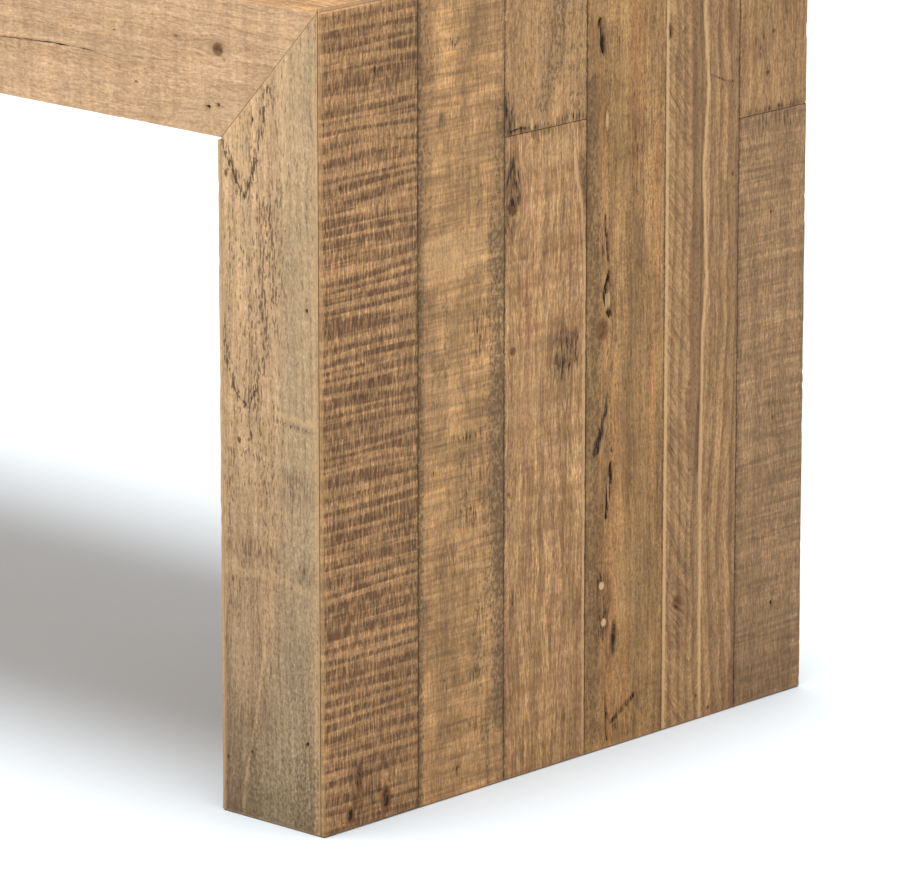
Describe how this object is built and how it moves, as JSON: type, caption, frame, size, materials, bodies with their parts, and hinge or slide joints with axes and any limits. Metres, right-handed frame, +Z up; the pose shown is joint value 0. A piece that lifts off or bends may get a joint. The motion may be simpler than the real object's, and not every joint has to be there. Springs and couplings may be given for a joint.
{
  "type": "console table",
  "caption": "Waterfall console table: thick plank-clad top and slab legs in reclaimed pine, with mitred fascia boards over a hollow tenoned core.",
  "frame": {"origin": "on the floor, midway between the legs and between the front and back faces", "axes": "+X along the table's length towards the end seen in the picture, -Y towards its front, +Z up"},
  "size_m": [1.8, 0.624, 0.711],
  "materials": {
    "pine_russet": "matte reclaimed pine, orange brown, with broad dark saw marks across the grain",
    "pine_golden": "matte reclaimed pine, golden tan, with greyed edges and fine saw marks",
    "pine_tan": "matte reclaimed pine, light pinkish tan, with wavy grain and small dark knots",
    "pine_umber": "matte reclaimed pine, brown, with cracks, knots and old nail holes in a line",
    "pine_wavy": "matte reclaimed pine, mid brown, with strong wavy grain and a light streak",
    "pine_grey": "matte reclaimed pine, weathered grey brown, with fine saw marks",
    "pine_fascia": "matte reclaimed pine, light tan, with dark pores, a knot and nail holes",
    "core_timber": "plain planed softwood, unfinished, out of sight"
  },
  "bodies": {
    "root": {"left_end_plank_1": "pine_umber", "left_end_plank_2_lower": "pine_golden", "left_end_plank_2_upper": "pine_wavy", "left_end_plank_3": "pine_russet", "left_end_plank_4": "pine_tan", "left_end_plank_5_lower": "pine_grey", "left_end_plank_5_upper": "pine_golden", "left_end_plank_6": "pine_umber", "left_knee_plank_1": "pine_russet", "left_knee_plank_2": "pine_grey", "left_knee_plank_3": "pine_golden", "left_knee_plank_4": "pine_umber", "left_knee_plank_5": "pine_tan", "left_leg_fascia_back": "pine_fascia", "left_leg_fascia_front": "pine_fascia", "left_leg_foot_rail": "core_timber", "left_leg_head_rail": "core_timber", "left_leg_stile_back": "core_timber", "left_leg_stile_front": "core_timber", "right_end_plank_1": "pine_russet", "right_end_plank_2": "pine_golden", "right_end_plank_3_lower": "pine_tan", "right_end_plank_3_upper": "pine_golden", "right_end_plank_4": "pine_umber", "right_end_plank_5": "pine_wavy", "right_end_plank_6_lower": "pine_grey", "right_end_plank_6_upper": "pine_wavy", "right_knee_plank_1": "pine_tan", "right_knee_plank_2": "pine_wavy", "right_knee_plank_3": "pine_russet", "right_knee_plank_4": "pine_grey", "right_knee_plank_5": "pine_golden", "right_leg_fascia_back": "pine_fascia", "right_leg_fascia_front": "pine_fascia", "right_leg_foot_rail": "core_timber", "right_leg_head_rail": "core_timber", "right_leg_stile_back": "core_timber", "right_leg_stile_front": "core_timber", "soffit_plank_1": "pine_wavy", "soffit_plank_2": "pine_russet", "soffit_plank_3": "pine_umber", "soffit_plank_4": "pine_golden", "soffit_plank_5": "pine_grey", "top_core_rail_back": "core_timber", "top_core_rail_front": "core_timber", "top_core_rib_1": "core_timber", "top_core_rib_2": "core_timber", "top_core_rib_3": "core_timber", "top_fascia_back": "pine_fascia", "top_fascia_front": "pine_fascia", "top_plank_1": "pine_tan", "top_plank_2_left": "pine_golden", "top_plank_2_right": "pine_umber", "top_plank_3": "pine_wavy", "top_plank_4_left": "pine_russet", "top_plank_4_right": "pine_tan", "top_plank_5_left": "pine_grey", "top_plank_5_right": "pine_golden", "top_plank_6": "pine_umber"}
  },
  "joints": []
}
